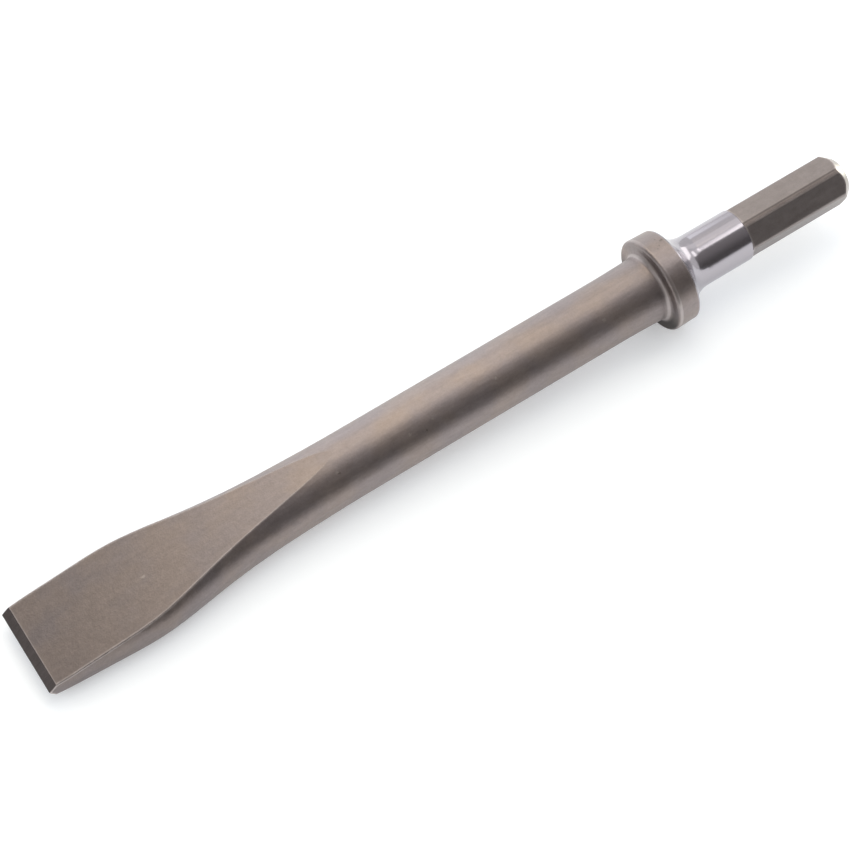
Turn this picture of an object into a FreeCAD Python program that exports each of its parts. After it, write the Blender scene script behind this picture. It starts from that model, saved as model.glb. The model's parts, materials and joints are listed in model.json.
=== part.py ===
import FreeCAD, Part
import math
import os

# Flat chisel for a chipping hammer, forged and ground from one steel bar.
# Millimetres. It is built along +X from the cutting edge, then laid down as it rests on a floor.

# Along the tool
OVERALL_LENGTH = 280.0
SHANK_LENGTH = 62.8            # from the collar's back edge to the striking end
HEX_LENGTH = 38.0
COLLAR_THICKNESS = 7.6
FLAT_LENGTH = 100.0            # from the cutting edge to the tip of each ground flat
FAN_LEAD = 6.0                 # the bar starts to widen this far behind the tips of the flats

# Across the tool
BAR_DIAMETER = 20.0
COLLAR_DIAMETER = 30.1
COLLAR_BACK_DIAMETER = 29.5    # the rim has a little draft
NECK_DIAMETER = 16.8
HEX_ACROSS_FLATS = 14.7
STRIKING_FACE_DIAMETER = 11.8

# Blade
BLADE_WIDTH = 29.6             # at the cutting edge
BEVEL_THICKNESS = 4.4          # blade thickness where the bevels start
UPPER_BEVEL_LENGTH = 2.6
LOWER_BEVEL_LENGTH = 1.6
EDGE_RISE = 0.4                # the hand-ground cutting edge lies off the middle plane
FLAT_CROWN = 0.2               # height of each flat's bulge along its length
ROUND_WEIGHT = math.sqrt(0.5)  # corner weight that makes a ring of the fan an exact ellipse
BLADE_WEIGHT = 0.85            # and the one at the cutting edge, where the sides are flatter

# Widening of the fan's rings of poles, from the cutting edge to the bar
FLARE = [1, 1.14, 1.12, 1.44, 0.71, 0.21, 0.07, 0, 0]

# Forging radii and small features
ARRIS_RADIUS = 0.3
SWELL_LENGTH = 12.0            # the bar thickens a little in front of the collar
SWELL_HEIGHT = 0.4
SWELL_BLEND_RADIUS = 300.0
COLLAR_FILLET_RADIUS = 2.0
COLLAR_FRONT_EDGE_RADIUS = 1.0
COLLAR_BACK_EDGE_RADIUS = 0.3
NECK_FILLET_RADIUS = 9.0
NECK_FILLET_LEAN = 2.2         # how far the ground back of the collar slopes towards the shank
NECK_END_CHAMFER = 0.3
HEX_EDGE_RADIUS = 1.4
HEX_TURN = -10.0               # degrees from the blade's width to the nearest hexagon corner
STRIKING_CHAMFER_LENGTH = 3.5
STRIKING_EDGE_RADIUS = 1.0

FAN_LENGTH = FLAT_LENGTH + FAN_LEAD
BAR_RADIUS = BAR_DIAMETER / 2
NECK_RADIUS = NECK_DIAMETER / 2
COLLAR_BACK = OVERALL_LENGTH - SHANK_LENGTH
COLLAR_FRONT = COLLAR_BACK - COLLAR_THICKNESS
NECK_END = OVERALL_LENGTH - HEX_LENGTH
TOLERANCE = 0.01
AXIS = FreeCAD.Vector(1, 0, 0)
CENTRE = FreeCAD.Vector(0, 0, 0)


def rounded_wire(corners, place):
    """Closed wire through corners (a, b, radius), each corner rounded by an arc of its radius."""
    points = [FreeCAD.Vector(a, b, 0) for a, b, _ in corners]
    edges = []
    ends = []
    for i, (_, _, radius) in enumerate(corners):
        here = points[i]
        back = (points[i - 1] - here).normalize()
        ahead = (points[(i + 1) % len(points)] - here).normalize()
        if radius == 0:
            ends.append((here, here))
            continue
        half = back.getAngle(ahead) / 2
        reach = radius / math.tan(half)
        middle = (back + ahead).normalize() * (radius / math.sin(half) - radius)
        ends.append((here + back * reach, here + ahead * reach))
        edges.append(Part.Arc(place(ends[i][0]), place(here + middle), place(ends[i][1])).toShape())
    for i in range(len(points)):
        start, end = ends[i - 1][1], ends[i][0]
        edges.append(Part.makeLine(place(start), place(end)))
    return Part.Wire(Part.__sortEdges__(edges))


def turned(corners):
    """Solid of revolution about the tool's axis, from corners (station, radius, rounding)."""
    wire = rounded_wire(corners, lambda p: FreeCAD.Vector(p.x, 0, p.y))
    return Part.Face(wire).revolve(CENTRE, AXIS, 360)


def bar_collar_and_neck():
    swell_radius = BAR_RADIUS + SWELL_HEIGHT
    return turned([
        (FAN_LENGTH, 0, 0),
        (FAN_LENGTH, BAR_RADIUS, 0),
        (COLLAR_FRONT - SWELL_LENGTH, BAR_RADIUS, SWELL_BLEND_RADIUS),
        (COLLAR_FRONT, swell_radius, COLLAR_FILLET_RADIUS),
        (COLLAR_FRONT, COLLAR_DIAMETER / 2, COLLAR_FRONT_EDGE_RADIUS),
        (COLLAR_BACK, COLLAR_BACK_DIAMETER / 2, COLLAR_BACK_EDGE_RADIUS),
        (COLLAR_BACK + NECK_FILLET_LEAN, NECK_RADIUS, NECK_FILLET_RADIUS),
        (NECK_END - NECK_END_CHAMFER, NECK_RADIUS, 0),
        (NECK_END, NECK_RADIUS - NECK_END_CHAMFER, 0),
        (NECK_END, 0, 0),
    ])


def hexagon_shank():
    corner_radius = HEX_ACROSS_FLATS / math.sqrt(3)
    angles = [math.radians(60 * i + HEX_TURN) for i in range(6)]
    corners = [
        (corner_radius * math.cos(a), corner_radius * math.sin(a), HEX_EDGE_RADIUS) for a in angles
    ]
    wire = rounded_wire(corners, lambda p: FreeCAD.Vector(NECK_END, p.x, p.y))
    bar = Part.Face(wire).extrude(AXIS * HEX_LENGTH)
    envelope = turned([
        (NECK_END, 0, 0),
        (NECK_END, corner_radius, 0),
        (OVERALL_LENGTH - STRIKING_CHAMFER_LENGTH, corner_radius, 0),
        (OVERALL_LENGTH, STRIKING_FACE_DIAMETER / 2, STRIKING_EDGE_RADIUS),
        (OVERALL_LENGTH, 0, 0),
    ])
    return bar.common(envelope)


def fan_quarter(turn):
    """Quarter of the fan's skin, between two neighbouring lines along its top, sides or bottom.

    Every ring of poles holds one rational arc, and its corner weight grows with its width. A ring's
    station is the mean of its knots, so that stations run evenly along the skin.
    """
    along, around = 3, 2    # degrees of the skin in its two directions
    spans = len(FLARE) - along
    knots = [0] * along + list(range(spans + 1)) + [spans] * along
    corners = [(1, 0), (1, 1), (0, 1), (-1, 1), (-1, 0), (-1, -1), (0, -1), (1, -1), (1, 0)]
    arc = corners[around * turn:around * (turn + 1) + 1]
    poles = []
    weights = []
    for i, flare in enumerate(FLARE):
        station = FAN_LENGTH * sum(knots[i + 1:i + 1 + along]) / (along * spans)
        half_width = BAR_RADIUS + flare * (BLADE_WIDTH / 2 - BAR_RADIUS)
        poles.append([FreeCAD.Vector(station, y * half_width, z * BAR_RADIUS) for y, z in arc])
        weights.append([1, ROUND_WEIGHT + flare * (BLADE_WEIGHT - ROUND_WEIGHT), 1])
    skin = Part.BSplineSurface()
    skin.buildFromPolesMultsKnots(
        poles, [along + 1] + [1] * (spans - 1) + [along + 1], [around + 1, around + 1],
        list(range(spans + 1)), [0, 1], False, False, along, around, weights
    )
    return skin


def forged_fan():
    """Body as high as the bar, whose width follows one smooth curve from the bar to the blade."""
    skins = [fan_quarter(turn) for turn in range(4)]
    ends = [
        Part.Face(Part.Wire([skin.uIso(skin.bounds()[side]).toShape() for skin in skins]))
        for side in (0, 1)
    ]
    return Part.Solid(Part.Shell([skin.toShape() for skin in skins] + ends))


def crowned_flat(start, end):
    """Edge of a flat seen from the side, bulging away from the tool's axis."""
    middle = (start + end) * 0.5
    middle.z += math.copysign(FLAT_CROWN, middle.z)
    return Part.Arc(start, middle, end).toShape()


def grinding_prism():
    """What is left between the two flats and the two cutting bevels, clear of the round bar."""
    side = [
        (0, EDGE_RISE),
        (UPPER_BEVEL_LENGTH, BEVEL_THICKNESS / 2),
        (FLAT_LENGTH, BAR_RADIUS),
        (FAN_LENGTH, BAR_DIAMETER),
        (FAN_LENGTH, -BAR_DIAMETER),
        (FLAT_LENGTH, -BAR_RADIUS),
        (LOWER_BEVEL_LENGTH, -BEVEL_THICKNESS / 2),
    ]
    points = [FreeCAD.Vector(u, -BLADE_WIDTH, n) for u, n in side]
    edge, upper, upper_end, above, below, lower_end, lower = points
    outline = Part.Wire([
        Part.makeLine(edge, upper),
        crowned_flat(upper, upper_end),
        Part.makeLine(upper_end, above),
        Part.makeLine(above, below),
        Part.makeLine(below, lower_end),
        crowned_flat(lower_end, lower),
        Part.makeLine(lower, edge),
    ])
    return Part.Face(outline).extrude(FreeCAD.Vector(0, 2 * BLADE_WIDTH, 0))


def ground_blade():
    """The forged fan after grinding, with its long edges softened and its bevel edges sharp."""
    blade = forged_fan().common(grinding_prism()).Solids[0]
    long_edges = [
        edge for edge in blade.Edges
        if UPPER_BEVEL_LENGTH + TOLERANCE < edge.BoundBox.XMax < FAN_LENGTH - TOLERANCE
    ]
    return blade.makeFillet(ARRIS_RADIUS, long_edges)


def resting_tilt():
    """Degrees by which the shank end rises when the tool lies on its collar and on its bar."""
    radius = COLLAR_FRONT_EDGE_RADIUS
    draft = math.atan2((COLLAR_DIAMETER - COLLAR_BACK_DIAMETER) / 2, COLLAR_THICKNESS)
    along = COLLAR_FRONT + radius - FLAT_LENGTH
    across = COLLAR_DIAMETER / 2 - radius * (math.tan(draft) + 1 / math.cos(draft)) - BAR_RADIUS
    slope_to_centre = math.atan2(across, along)
    slope_of_tangent = math.asin(radius / math.hypot(along, across))
    return math.degrees(slope_to_centre + slope_of_tangent)


def laid_down(tool):
    """The tool turned to its resting slope, over the origin, with its lowest point on the floor."""
    tool.rotate(CENTRE, FreeCAD.Vector(0, -1, 0), resting_tilt())
    box = tool.optimalBoundingBox(False)
    tool.translate(FreeCAD.Vector(-(box.XMin + box.XMax) / 2, 0, -box.ZMin))
    return tool


os.makedirs("parts", exist_ok=True)
chisel = ground_blade().fuse([bar_collar_and_neck(), hexagon_shank()])
laid_down(chisel).exportStep("parts/chisel.step")
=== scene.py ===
import json
import math
from collections import namedtuple

import bpy
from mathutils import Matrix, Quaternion, Vector


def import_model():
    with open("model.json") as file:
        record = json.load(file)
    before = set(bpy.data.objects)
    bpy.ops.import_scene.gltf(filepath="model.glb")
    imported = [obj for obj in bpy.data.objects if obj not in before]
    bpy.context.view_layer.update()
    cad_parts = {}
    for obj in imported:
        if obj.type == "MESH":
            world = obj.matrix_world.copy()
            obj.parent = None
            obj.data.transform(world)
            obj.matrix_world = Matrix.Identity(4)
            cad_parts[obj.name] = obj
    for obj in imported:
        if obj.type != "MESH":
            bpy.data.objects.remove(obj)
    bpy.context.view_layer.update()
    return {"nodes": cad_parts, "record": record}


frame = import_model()

# A flat chisel lying on a pale studio floor. Metres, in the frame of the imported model.
# "Station" is the distance along the tool's own axis from the cutting edge.

# The tool's line and the collar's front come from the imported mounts; the rest is measured along it
MOUNTS = {mount["name"]: mount for mount in frame["record"]["mounts"]}
AXIS = Vector(MOUNTS["striking_face"]["axis"])
STRIKING_END = Vector(MOUNTS["striking_face"]["pos_m"])
OVERALL_LENGTH = 0.280
CUTTING_END = STRIKING_END - AXIS * OVERALL_LENGTH
REST_TILT = math.atan2(AXIS.z, AXIS.x)
COLLAR_FRONT = (Vector(MOUNTS["collar_face"]["pos_m"]) - CUTTING_END).dot(AXIS)
COLLAR_BACK = 0.2172
GROUND_FROM = COLLAR_BACK - 0.0004     # the neck's grind takes in the collar's back edge
NECK_END = 0.2420
END_CHAMFER = 0.2765

# The camera stands on the blade's side and looks down on the tool
CAMERA_PLACE = Vector((-0.17393, -0.31222, 0.49345))
CAMERA_AIM = Vector((-0.00735, 0.00551, 0.0))
CAMERA_ROLL = math.radians(-6.136)
CAMERA_SENSOR = 36.0
CAMERA_LENS = 88.02


def add_node(tree, kind, inputs=None, **settings):
    """A new node with its settings and inputs; an input is a value or another node's socket."""
    made = tree.nodes.new(kind)
    for name, value in settings.items():
        setattr(made, name, value)
    for name, value in (inputs or {}).items():
        if isinstance(value, bpy.types.NodeSocket):
            tree.links.new(value, made.inputs[name])
        else:
            made.inputs[name].default_value = value
    return made


def maths(tree, operation, *values):
    made = add_node(tree, "ShaderNodeMath", dict(enumerate(values)), operation=operation)
    return made.outputs[0]


def vector_maths(tree, operation, output, *values):
    made = add_node(tree, "ShaderNodeVectorMath", dict(enumerate(values)), operation=operation)
    return made.outputs[output]


def product(tree, first, *others):
    for other in others:
        first = maths(tree, "MULTIPLY", first, other)
    return first


def largest(tree, first, *others):
    for other in others:
        first = maths(tree, "MAXIMUM", first, other)
    return first


def inverse(tree, value):
    """1 where value is 0, and 0 where it is 1."""
    return maths(tree, "SUBTRACT", 1.0, value)


def hypotenuse(tree, first, second):
    squares = [maths(tree, "MULTIPLY", side, side) for side in (first, second)]
    return maths(tree, "SQRT", maths(tree, "ADD", *squares))


def band(tree, value, low, high):
    """0 at low, 1 at high, a smooth step between and level outside; high may be the smaller one."""
    made = add_node(tree, "ShaderNodeMapRange", {"Value": value, "From Min": low, "From Max": high},
                    interpolation_type="SMOOTHSTEP")
    return made.outputs["Result"]


def between(tree, value, low, high, softness):
    """1 where value lies between low and high, with soft ends."""
    above = band(tree, value, low - softness, low + softness)
    past = band(tree, value, high - softness, high + softness)
    return product(tree, above, inverse(tree, past))


def noise(tree, place, scale, detail=2.0):
    """Noise about 0.5, with scale features to a metre along, across and up the tool."""
    stretched = vector_maths(tree, "MULTIPLY", "Vector", place, scale)
    made = add_node(tree, "ShaderNodeTexNoise", {"Vector": stretched, "Scale": 1.0, "Detail": detail})
    return made.outputs[0]


def shading(tree, pattern, amount):
    """A factor about 1 that follows a pattern about 0.5."""
    return maths(tree, "MULTIPLY_ADD", pattern, amount, 1 - amount / 2)


def mix_value(tree, factor, first, second):
    return add_node(tree, "ShaderNodeMix", {0: factor, 2: first, 3: second}).outputs[0]


def mix_colour(tree, factor, first, second):
    made = add_node(tree, "ShaderNodeMix", {0: factor, 6: first, 7: second}, data_type="RGBA")
    return made.outputs[2]


def covered(tree, colour, mask, strength, cover):
    """The colour under a cover that is only as dense as its strength."""
    return mix_colour(tree, product(tree, mask, strength), colour, cover)


def scaled(tree, colour, factor):
    made = add_node(tree, "ShaderNodeVectorMath", {0: colour, "Scale": factor}, operation="SCALE")
    return made.outputs["Vector"]


def new_material(name):
    made = bpy.data.materials.new(name)
    made.use_nodes = True
    made.node_tree.nodes.clear()
    return made, made.node_tree


# Colours of the steel
BLASTED_WARM = (0.350, 0.295, 0.273, 1)
BLASTED_COOL = (0.324, 0.282, 0.278, 1)
HEXAGON_COLOUR = (0.290, 0.258, 0.250, 1)
BEVEL_COLOUR = (0.298, 0.258, 0.251, 1)
POLISHED_COLOUR = (0.420, 0.395, 0.425, 1)
TURNED_END_COLOUR = (0.420, 0.385, 0.350, 1)
# Painted highlight on part of the end's chamfer
CHAMFER_HIGHLIGHT_COLOUR = (1.000, 0.960, 0.840, 1)
# Worn edges, and the painted highlights on the collar's rings
WEAR_AND_HIGHLIGHT_COLOUR = (0.660, 0.605, 0.590, 1)
# Lighter colour on one corner of the hexagon
LIGHTER_CORNER_COLOUR = (0.460, 0.405, 0.385, 1)
# Painted shade for the corner in front of the collar, and the colour of the dark marks
SHADE_AND_MARK_COLOUR = (0.035, 0.030, 0.028, 1)
# Light flecks, and the painted highlight of a nick
FLECK_AND_HIGHLIGHT_COLOUR = (0.560, 0.500, 0.460, 1)

# How dense each cover is
LIGHTER_CORNER_STRENGTH = 0.9
# Painted shade in the corner in front of the collar
CORNER_SHADE_STRENGTH = 0.95
# Painted highlights on the collar's rings
RING_HIGHLIGHT_STRENGTH = 0.4
WEAR_STRENGTH = 0.95
MARK_STRENGTH = 0.4

# Painted shade: the steel is darker towards the cutting edge, and a little round the collar
BLADE_SHADE_STATION = 0.110                     # station
BLADE_SHADE = 0.73
COLLAR_SHADE_STATIONS = (0.160, 0.222)           # stations
COLLAR_SHADE_SOFTNESS = 0.012
COLLAR_SHADE = 0.93

# Limits of the regions. "Facing" is how squarely the surface faces the striking end, -1 to 1
SHARP = 0.00005
BEVEL_FACING = (-0.30, -0.45)
BEVEL_STATION = (0.004, 0.005)
TURNED_END_STATION = (END_CHAMFER - 0.002, END_CHAMFER - 0.001)
TURNED_END_FACING = (0.25, 0.40)
RIM_SOFTNESS = 0.0003
RIM_RADIUS = (0.0142, 0.0146)

# Angles about the axis, from +Y towards +Z
HEXAGON_CORNER = (math.radians(106), math.radians(117))
LIGHTER_CORNER_TURN = (math.radians(110), math.radians(119))
CORNER_SOFTNESS = 0.02
# Part of the end's chamfer where a highlight is painted
CHAMFER_HIGHLIGHT_TURN = (math.radians(100), math.radians(130))
CHAMFER_HIGHLIGHT_SOFTNESS = 0.2
CHAMFER_HIGHLIGHT_RADIUS = (0.0055, 0.0066)

# Painted shade in the lower corner between the bar and the collar, where the bar shades the collar's front
CORNER_SHADE_STATION = (COLLAR_FRONT - 0.0030, COLLAR_FRONT + 0.0002)
CORNER_SHADE_SOFTNESS = 0.0003
CORNER_SHADE_HEIGHT = (-0.008, 0.004)
CORNER_SHADE_RADIUS = (0.0108, 0.0122)

# Wear, marks, and painted highlights on the collar's rings
WEAR_WIDTH = 0.0012
WEAR_SAMPLES = 8
WEAR_FACING = (0.955, 0.9997)            # how alike the rounded and the true surface face
WEAR_PATCHES = (400, 900, 900)
WEAR_PATCH_LIMITS = (0.35, 0.60)
WEAR_LEAST = 0.7
RING_HIGHLIGHT_HEIGHT = (-0.008, 0.012)
RING_HIGHLIGHT_SOFTNESS = 0.003
# Painted highlights along the collar's turned edges, shown at middle heights only
HIGHLIGHT_RINGS = [                           # station, radius, width
    (COLLAR_FRONT + 0.0009, 0.0149, 0.0007), (COLLAR_FRONT - 0.0008, 0.0109, 0.0007),
]
SOLID_SHARE = 0.4                        # share of a mark's or ring's reach that it fully covers
MARK_RAGGED_SCALE = 2500.0
MARK_RAGGEDNESS = 0.0016
# The first dark mark and the first light mark beside it are a small nick: its painted shade and painted
# highlight
DARK_MARKS = [                           # station, across, height, size
    (0.0986, -0.0061, 0.0080, 0.0005), (0.1265, -0.0077, 0.0064, 0.0005),
    (0.2142, 0.0010, 0.0148, 0.0005), (0.2130, 0.0003, 0.0149, 0.0004),
    (0.2158, 0.0026, 0.0146, 0.0006), (0.2146, 0.0040, 0.0144, 0.0004),
]
LIGHT_MARKS = [
    (0.0980, -0.0057, 0.0083, 0.0006),
    (0.0376, -0.0009, 0.0052, 0.0007), (0.1215, -0.0067, 0.0074, 0.0006),
    (0.1297, -0.0063, 0.0078, 0.0005), (0.1516, -0.0056, 0.0083, 0.0005),
    (0.1886, -0.0067, 0.0074, 0.0007),
]

# Features to a metre in each pattern, along, across and up the tool
CLOUD_SCALE = (70, 90, 90)
CLOUD_DETAIL = 4.0
CLOUD_LIMITS = (0.36, 0.64)
BLOTCH_SCALE = (260, 330, 330)
STREAK_SCALE = (150, 900, 900)
GRAIN_SCALE = (1900, 1900, 1900)
GRIT_SCALE = (750, 750, 750)
GRINDING_SCALE = (150, 2200, 150)
TURNING_SCALE = (7000, 12, 12)
FINE_DETAIL = 3.0

# How much each pattern shades the colour
BLOTCH_SHADING = 0.22
STREAK_SHADING = 0.20
GRAIN_SHADING = 0.22
GRIT_SHADING = 0.16
GRINDING_SHADING = 0.5

# Roughness: how much a region's pattern adds, and what it adds to
BLASTED_ROUGHNESS = (0.10, 0.41)
BEVEL_ROUGHNESS = (0.15, 0.30)
RIM_ROUGHNESS = (0.10, 0.35)
HEXAGON_ROUGHNESS = (0.12, 0.36)
POLISHED_ROUGHNESS = (0.10, 0.12)
TURNED_END_ROUGHNESS = (0.10, 0.18)
HEXAGON_CORNER_ROUGHNESS = 0.8
WORN_ROUGHNESS = 0.7                     # at least

# Relief in metres
GRAIN_RELIEF = 0.000025
GRIT_RELIEF = 0.00004
GRINDING_RELIEF = 0.00001
HEXAGON_RELIEF = 0.00002
TURNING_RELIEF = 0.0000012

Surface = namedtuple("Surface", "place station height radius turn normal facing")
# Among the regions, scale is the painted shade in the lower corner in front of the collar
Regions = namedtuple("Regions", [
    "bevel", "scale", "rim", "polished", "hexagon", "hexagon_corner", "rubbed", "turned_end", "bright_end",
])
Patterns = namedtuple("Patterns", "clouds blotches streaks grain grit grinding turning")


def find_surface(tree):
    """Where a point of the surface is on the tool, and which way it faces."""
    position = add_node(tree, "ShaderNodeTexCoord")
    place = add_node(tree, "ShaderNodeMapping", {
        "Vector": position.outputs["Object"], "Location": CUTTING_END, "Rotation": (0, -REST_TILT, 0),
    }, vector_type="TEXTURE").outputs[0]
    station, across, height = add_node(tree, "ShaderNodeSeparateXYZ", {0: place}).outputs
    normal = add_node(tree, "ShaderNodeNewGeometry").outputs["Normal"]
    return Surface(
        place=place,
        station=station,
        height=height,
        radius=hypotenuse(tree, across, height),
        turn=maths(tree, "ARCTAN2", height, across),
        normal=normal,
        facing=vector_maths(tree, "DOT_PRODUCT", "Value", normal, AXIS),
    )


def corner_shade(tree, at):
    """1 in the lower corner between the bar and the collar, where shade is painted."""
    along = between(tree, at.station, *CORNER_SHADE_STATION, CORNER_SHADE_SOFTNESS)
    low = inverse(tree, band(tree, at.height, *CORNER_SHADE_HEIGHT))
    return product(tree, along, band(tree, at.radius, *CORNER_SHADE_RADIUS), low)


def find_regions(tree, at):
    """Masks that are 1 on the tool's regions."""
    at_tip = inverse(tree, band(tree, at.station, *BEVEL_STATION))
    on_collar = between(tree, at.station, COLLAR_FRONT, GROUND_FROM, RIM_SOFTNESS)
    hexagon = band(tree, at.station, NECK_END - SHARP, NECK_END + SHARP)
    turned_end = product(tree, band(tree, at.station, *TURNED_END_STATION),
                         band(tree, at.facing, *TURNED_END_FACING))
    return Regions(
        bevel=product(tree, band(tree, at.facing, *BEVEL_FACING), at_tip),
        # Painted shade in the lower corner in front of the collar
        scale=corner_shade(tree, at),
        rim=product(tree, on_collar, band(tree, at.radius, *RIM_RADIUS)),
        polished=between(tree, at.station, GROUND_FROM, NECK_END, SHARP),
        hexagon=hexagon,
        hexagon_corner=product(tree, hexagon, between(tree, at.turn, *HEXAGON_CORNER, CORNER_SOFTNESS)),
        rubbed=product(tree, hexagon, between(tree, at.turn, *LIGHTER_CORNER_TURN, CORNER_SOFTNESS)),
        turned_end=turned_end,
        # Painted highlight on part of the end's chamfer
        bright_end=product(tree, between(tree, at.turn, *CHAMFER_HIGHLIGHT_TURN, CHAMFER_HIGHLIGHT_SOFTNESS),
                           turned_end, band(tree, at.radius, *CHAMFER_HIGHLIGHT_RADIUS)),
    )


def draw_patterns(tree, place):
    return Patterns(
        clouds=band(tree, noise(tree, place, CLOUD_SCALE, CLOUD_DETAIL), *CLOUD_LIMITS),
        blotches=noise(tree, place, BLOTCH_SCALE, FINE_DETAIL),
        streaks=noise(tree, place, STREAK_SCALE, FINE_DETAIL),
        grain=noise(tree, place, GRAIN_SCALE),
        grit=noise(tree, place, GRIT_SCALE),
        grinding=noise(tree, place, GRINDING_SCALE, FINE_DETAIL),
        turning=noise(tree, place, TURNING_SCALE),
    )


def worn_edges(tree, at, on):
    """1 along the edges that handling has rubbed lighter, and uneven along them."""
    rounded = add_node(tree, "ShaderNodeBevel", {"Radius": WEAR_WIDTH}, samples=WEAR_SAMPLES)
    alike = vector_maths(tree, "DOT_PRODUCT", "Value", rounded.outputs[0], at.normal)
    near_edge = inverse(tree, band(tree, alike, *WEAR_FACING))
    patches = band(tree, noise(tree, at.place, WEAR_PATCHES), *WEAR_PATCH_LIMITS)
    # No wear on the painted corner shade, the polished neck or the bevels
    unworn = largest(tree, on.scale, on.polished, on.bevel)
    return product(tree, near_edge, mix_value(tree, patches, WEAR_LEAST, 1.0), inverse(tree, unworn))


def highlight_rings(tree, at):
    """1 on the turned edges of the collar's front, at middle heights only, where highlights are painted.
    """
    rings = []
    for station, radius, width in HIGHLIGHT_RINGS:
        along = maths(tree, "SUBTRACT", at.station, station)
        out = maths(tree, "SUBTRACT", at.radius, radius)
        distance = hypotenuse(tree, along, out)
        rings.append(inverse(tree, band(tree, distance, SOLID_SHARE * width, width)))
    seen = between(tree, at.height, *RING_HIGHLIGHT_HEIGHT, RING_HIGHLIGHT_SOFTNESS)
    return product(tree, largest(tree, *rings), seen)


def marks(tree, place, spots):
    """1 on small marks of uneven outline."""
    ragged = add_node(tree, "ShaderNodeTexNoise", {
        "Vector": place, "Scale": MARK_RAGGED_SCALE, "Detail": FINE_DETAIL,
    })
    offset = vector_maths(tree, "SUBTRACT", "Vector", ragged.outputs["Color"], (0.5, 0.5, 0.5))
    shifted = vector_maths(tree, "ADD", "Vector", place, scaled(tree, offset, MARK_RAGGEDNESS))
    found = []
    for station, across, height, size in spots:
        distance = vector_maths(tree, "DISTANCE", "Value", shifted, (station, across, height))
        found.append(inverse(tree, band(tree, distance, SOLID_SHARE * size, size)))
    return largest(tree, *found)


def forged_colour(tree, at, on, drawn):
    """Colour of the blasted steel, the bevels and the hexagon, with their patterns."""
    colour = mix_colour(tree, drawn.clouds, BLASTED_COOL, BLASTED_WARM)
    colour = mix_colour(tree, on.bevel, colour, BEVEL_COLOUR)
    colour = mix_colour(tree, on.hexagon, colour, HEXAGON_COLOUR)
    # The hexagon's corner facing up towards the camera's side is drawn lighter
    colour = covered(tree, colour, on.rubbed, LIGHTER_CORNER_STRENGTH, LIGHTER_CORNER_COLOUR)
    # Painted shade in the lower corner in front of the collar
    colour = covered(tree, colour, on.scale, CORNER_SHADE_STRENGTH, SHADE_AND_MARK_COLOUR)
    # Painted shade, darker towards the cutting edge and a little round the collar
    behind_blade = band(tree, at.station, 0.0, BLADE_SHADE_STATION)
    colour = scaled(tree, colour, mix_value(tree, behind_blade, BLADE_SHADE, 1.0))
    near_collar = between(tree, at.station, *COLLAR_SHADE_STATIONS, COLLAR_SHADE_SOFTNESS)
    colour = scaled(tree, colour, mix_value(tree, near_collar, 1.0, COLLAR_SHADE))
    scratches = shading(tree, drawn.grinding, GRINDING_SHADING)
    colour = scaled(tree, colour, mix_value(tree, on.bevel, 1.0, scratches))
    shade = product(
        tree,
        shading(tree, drawn.blotches, BLOTCH_SHADING),
        shading(tree, drawn.streaks, STREAK_SHADING),
        shading(tree, drawn.grain, GRAIN_SHADING),
        shading(tree, drawn.grit, GRIT_SHADING),
    )
    return scaled(tree, colour, shade)


def steel_colour(tree, at, on, drawn, wear):
    colour = forged_colour(tree, at, on, drawn)
    colour = mix_colour(tree, on.polished, colour, POLISHED_COLOUR)
    colour = mix_colour(tree, on.turned_end, colour, TURNED_END_COLOUR)
    # Painted highlight on part of the end's chamfer
    colour = mix_colour(tree, on.bright_end, colour, CHAMFER_HIGHLIGHT_COLOUR)
    # Painted highlights on the collar's rings
    colour = covered(tree, colour, highlight_rings(tree, at), RING_HIGHLIGHT_STRENGTH, WEAR_AND_HIGHLIGHT_COLOUR)
    colour = covered(tree, colour, wear, WEAR_STRENGTH, WEAR_AND_HIGHLIGHT_COLOUR)
    # Dark and light marks, with the painted shade and highlight of a nick among them
    colour = covered(tree, colour, marks(tree, at.place, DARK_MARKS), MARK_STRENGTH, SHADE_AND_MARK_COLOUR)
    return covered(tree, colour, marks(tree, at.place, LIGHT_MARKS), MARK_STRENGTH, FLECK_AND_HIGHLIGHT_COLOUR)


def steel_roughness(tree, on, drawn, wear):
    rough = maths(tree, "MULTIPLY_ADD", drawn.blotches, *BLASTED_ROUGHNESS)
    layers = [
        (on.bevel, maths(tree, "MULTIPLY_ADD", drawn.grinding, *BEVEL_ROUGHNESS)),
        (on.rim, maths(tree, "MULTIPLY_ADD", drawn.blotches, *RIM_ROUGHNESS)),
        (on.hexagon, maths(tree, "MULTIPLY_ADD", drawn.streaks, *HEXAGON_ROUGHNESS)),
        (on.hexagon_corner, HEXAGON_CORNER_ROUGHNESS),
        (on.polished, maths(tree, "MULTIPLY_ADD", drawn.turning, *POLISHED_ROUGHNESS)),
        (on.turned_end, maths(tree, "MULTIPLY_ADD", drawn.turning, *TURNED_END_ROUGHNESS)),
    ]
    for region, roughness in layers:
        rough = mix_value(tree, region, rough, roughness)
    return mix_value(tree, wear, rough, maths(tree, "MAXIMUM", rough, WORN_ROUGHNESS))


def steel_relief(tree, on, drawn):
    grit = product(tree, drawn.grit, GRIT_RELIEF)
    relief = maths(tree, "MULTIPLY_ADD", drawn.grain, GRAIN_RELIEF, grit)
    relief = mix_value(tree, on.bevel, relief, product(tree, drawn.grinding, GRINDING_RELIEF))
    relief = mix_value(tree, on.hexagon, relief, product(tree, drawn.grain, HEXAGON_RELIEF))
    turned = largest(tree, on.polished, on.turned_end)
    return mix_value(tree, turned, relief, product(tree, drawn.turning, TURNING_RELIEF))


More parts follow.
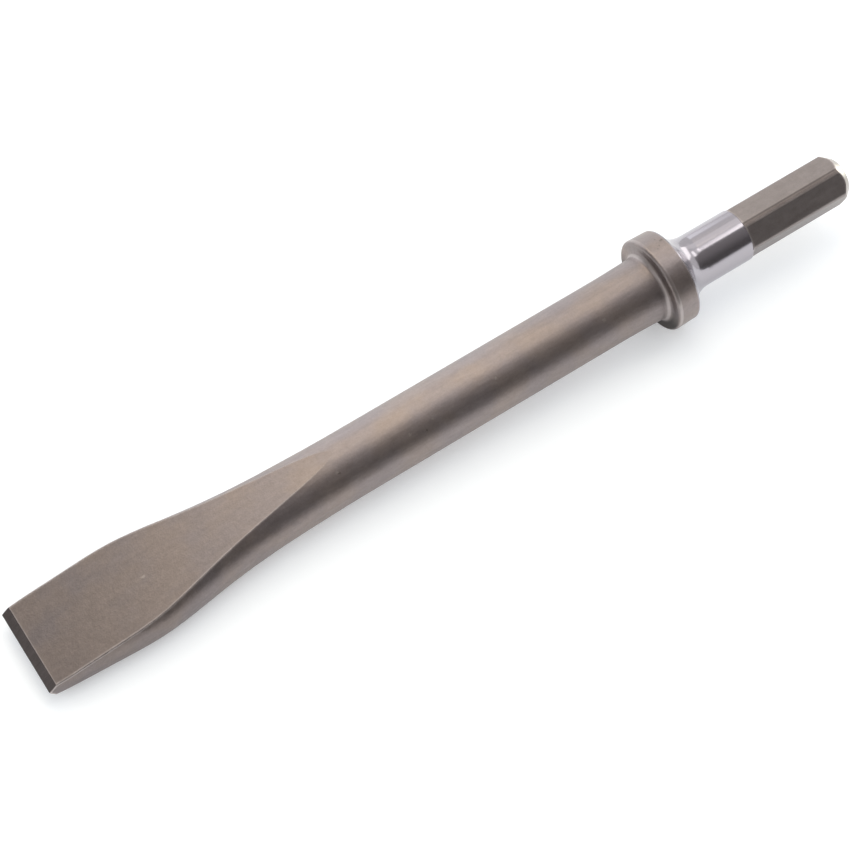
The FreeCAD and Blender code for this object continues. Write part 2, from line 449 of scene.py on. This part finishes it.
def steel():
    made, tree = new_material("steel")
    at = find_surface(tree)
    on = find_regions(tree, at)
    drawn = draw_patterns(tree, at.place)
    wear = worn_edges(tree, at, on)
    relief = steel_relief(tree, on, drawn)
    bumped = add_node(tree, "ShaderNodeBump", {"Height": relief, "Strength": 1.0, "Distance": 1.0})
    shader = add_node(tree, "ShaderNodeBsdfPrincipled", {
        "Base Color": steel_colour(tree, at, on, drawn, wear),
        "Metallic": 1.0,
        "Roughness": steel_roughness(tree, on, drawn, wear),
        "Normal": bumped.outputs[0],
    })
    add_node(tree, "ShaderNodeOutputMaterial", {"Surface": shader.outputs[0]})
    return made


def new_object(name, points, faces):
    mesh = bpy.data.meshes.new(name)
    mesh.from_pydata([tuple(p) for p in points], [], faces)
    made = bpy.data.objects.new(name, mesh)
    bpy.context.scene.collection.objects.link(made)
    return made


FLOOR_SIZE = 6.0
FLOOR_COLOUR = (0.86, 0.89, 0.915, 1)
FLOOR_GLOW = 0.23


def seen_directly(tree):
    """1 for camera, glossy and transmission rays and 0 for the rest."""
    rays = add_node(tree, "ShaderNodeLightPath").outputs
    return largest(tree, rays["Is Camera Ray"], rays["Is Glossy Ray"], rays["Is Transmission Ray"])


def floor_material():
    """Pale matt floor that looks white where no shadow falls on it."""
    made, tree = new_material("floor")
    matt = add_node(tree, "ShaderNodeBsdfDiffuse", {"Color": FLOOR_COLOUR})
    strength = product(tree, seen_directly(tree), FLOOR_GLOW)
    glow = add_node(tree, "ShaderNodeEmission", {"Strength": strength})
    both = add_node(tree, "ShaderNodeAddShader", {0: matt.outputs[0], 1: glow.outputs[0]})
    add_node(tree, "ShaderNodeOutputMaterial", {"Surface": both.outputs[0]})
    return made


def floor():
    half = FLOOR_SIZE / 2
    corners = [(-half, -half, 0), (half, -half, 0), (half, half, 0), (-half, half, 0)]
    made = new_object("floor", corners, [(0, 1, 2, 3)])
    made.data.materials.append(floor_material())


# Cards that only the tool's reflections show: they are dark near the floor and paler overhead
CARD_COLOUR = (1, 0.95, 0.95, 1)
CARD_DARK = 0.12
CARD_PALE = 0.30
CARD_HEIGHTS = (0.35, 1.15)            # fully dark below the first, fully pale above the second

# The near card and the upper card are bent round the tool at this distance
CARD_DISTANCE = 1.2
CARD_LOW = math.radians(1.5)
CARD_HIGH = math.radians(71)
CARD_TOP = math.radians(77)
CARD_LEFT = -2.5
CARD_RIGHT = 2.0
CARD_STEPS = 24
UPPER_CARD_LEFT = (0.36, 0.42)         # at its foot and at its top
UPPER_CARD_RIGHT = 0.90

# The floor card darkens the floor in the tool's reflections, as painted shade close in front of the bar
FLOOR_CARD_LEVEL = 0.002
FLOOR_CARD_NEAR = -0.13
FLOOR_CARD_FAR = -CARD_DISTANCE
FLOOR_CARD_EDGE = [
    (CARD_LEFT, FLOOR_CARD_NEAR), (-0.125, FLOOR_CARD_NEAR), (-0.105, -0.045), (-0.05, -0.06),
    (0.0, -0.07), (0.06, -0.07), (0.13, FLOOR_CARD_NEAR), (0.63, FLOOR_CARD_FAR),
    (CARD_LEFT, FLOOR_CARD_FAR),
]

LEFT_CARD_SIDE = -1.0
LEFT_CARD_BOTTOM = 0.02
LEFT_CARD_TOP = 1.5
LEFT_CARD_START = 0.32
LEFT_CARD_BACK = 2.0
LEFT_CARD_ROOF_FRONT = -1.2
LEFT_CARD_ROOF_EDGE = -0.3


def card_material():
    made, tree = new_material("dark_card")
    position = add_node(tree, "ShaderNodeTexCoord")
    height = add_node(tree, "ShaderNodeSeparateXYZ", {0: position.outputs["Object"]}).outputs["Z"]
    strength = mix_value(tree, band(tree, height, *CARD_HEIGHTS), CARD_DARK, CARD_PALE)
    glow = add_node(tree, "ShaderNodeEmission", {"Color": CARD_COLOUR, "Strength": strength})
    add_node(tree, "ShaderNodeOutputMaterial", {"Surface": glow.outputs[0]})
    return made


def card_line(angle):
    """Y and Z of the bent cards at an angle above the floor, on the camera's side."""
    return -CARD_DISTANCE * math.cos(angle), CARD_DISTANCE * math.sin(angle)


def near_card():
    """Card bent round the camera's side."""
    points = []
    for i in range(CARD_STEPS + 1):
        line = card_line(CARD_LOW + (CARD_HIGH - CARD_LOW) * i / CARD_STEPS)
        points += [(CARD_LEFT, *line), (CARD_RIGHT, *line)]
    faces = [(2 * i, 2 * i + 1, 2 * i + 3, 2 * i + 2) for i in range(CARD_STEPS)]
    return new_object("near_card", points, faces)


def upper_card():
    """Narrow card that carries the near card higher, where the collar and the neck reflect it."""
    foot, top = card_line(CARD_HIGH), card_line(CARD_TOP)
    foot_left, top_left = UPPER_CARD_LEFT
    points = [(foot_left, *foot), (UPPER_CARD_RIGHT, *foot), (UPPER_CARD_RIGHT, *top), (top_left, *top)]
    return new_object("upper_card", points, [(0, 1, 2, 3)])


def dark_floor_and_shade_card():
    """Card lying on the floor in front of the bar, whose near edge draws back past the collar. Far out it
    darkens the floor as the reflections see it; close in front of the bar it is painted shade of the
    floor.
    """
    points = [(x, y, FLOOR_CARD_LEVEL) for x, y in FLOOR_CARD_EDGE]
    return new_object("dark_floor_and_shade_card", points, [tuple(range(len(points)))])


def left_card():
    """Wall past the cutting edge, and a roof over it."""
    side, top = LEFT_CARD_SIDE, LEFT_CARD_TOP
    points = [
        (side, LEFT_CARD_START, LEFT_CARD_BOTTOM),
        (side, LEFT_CARD_BACK, LEFT_CARD_BOTTOM),
        (side, LEFT_CARD_BACK, top),
        (side, LEFT_CARD_START, top),
        (side, LEFT_CARD_ROOF_FRONT, top),
        (LEFT_CARD_ROOF_EDGE, LEFT_CARD_ROOF_FRONT, top),
        (LEFT_CARD_ROOF_EDGE, LEFT_CARD_BACK, top),
    ]
    return new_object("left_card", points, [(0, 1, 2, 3), (2, 3, 4, 5, 6)])


def cards():
    dark = card_material()
    for card in (near_card(), upper_card(), dark_floor_and_shade_card(), left_card()):
        card.data.materials.append(dark)
        card.visible_camera = False
        card.visible_diffuse = False
        card.visible_shadow = False


WORLD_COLOUR = (1, 1, 1, 1)
WORLD_STRENGTH = 0.88
LAMPS = [                              # name, place, point that it faces, size, watts, colour
    ("overhead_lamp", (0.66, -0.11, 1.19), (0.09, 0, 0), (0.36, 0.24), 0.58, (1, 0.98, 0.95)),
    ("fillet_lamp", (1.14, -0.085, 0.95), (0.09, 0, 0), (0.50, 0.28), 0.70, (1, 0.98, 0.95)),
    ("top_softbox", (0.14, 0.65, 1.0), (0, 0, 0), (0.55, 0.6), 1.5, (1, 0.87, 0.64)),
    ("bar_softbox", (0.21, 0.17, 1.14), (0, 0, 0), (0.30, 0.42), 0.75, (1, 0.87, 0.66)),
    ("shank_softbox", (0.80, 0.50, 1.0), (0.1, 0, 0), (0.4, 1.0), 0.36, (1, 0.97, 0.95)),
    ("back_softbox", (-0.08, 1.3, 0.4), (0, 0, 0), (1.48, 0.8), 3.4, (0.90, 0.95, 1.0)),
    ("right_softbox", (0.60, 0.16, 0.16), (0.14, 0, 0.02), (0.3, 0.24), 0.34, (1, 0.98, 0.94)),
]


def world():
    made = bpy.data.worlds.new("studio")
    bpy.context.scene.world = made
    made.use_nodes = True
    tree = made.node_tree
    tree.nodes.clear()
    sky = add_node(tree, "ShaderNodeBackground", {"Color": WORLD_COLOUR, "Strength": WORLD_STRENGTH})
    add_node(tree, "ShaderNodeOutputWorld", {"Surface": sky.outputs[0]})


def lamp(name, place, aim, size, power, colour):
    light = bpy.data.lights.new(name, "AREA")
    light.shape = "RECTANGLE"
    light.size, light.size_y = size
    light.energy = power
    light.color = colour
    made = bpy.data.objects.new(name, light)
    made.location = place
    made.rotation_euler = (Vector(aim) - Vector(place)).to_track_quat("-Z", "Y").to_euler()
    made.visible_camera = False
    bpy.context.scene.collection.objects.link(made)


def camera():
    data = bpy.data.cameras.new("camera")
    data.sensor_width = CAMERA_SENSOR
    data.lens = CAMERA_LENS
    made = bpy.data.objects.new("camera", data)
    made.location = CAMERA_PLACE
    level = (CAMERA_AIM - CAMERA_PLACE).to_track_quat("-Z", "Y")
    made.rotation_mode = "QUATERNION"
    made.rotation_quaternion = level @ Quaternion((0, 0, 1), CAMERA_ROLL)
    bpy.context.scene.collection.objects.link(made)
    bpy.context.scene.camera = made


frame["nodes"]["chisel"].material_slots[0].material = steel()
floor()
cards()
world()
for settings in LAMPS:
    lamp(*settings)
camera()
bpy.context.scene.view_settings.view_transform = "Standard"
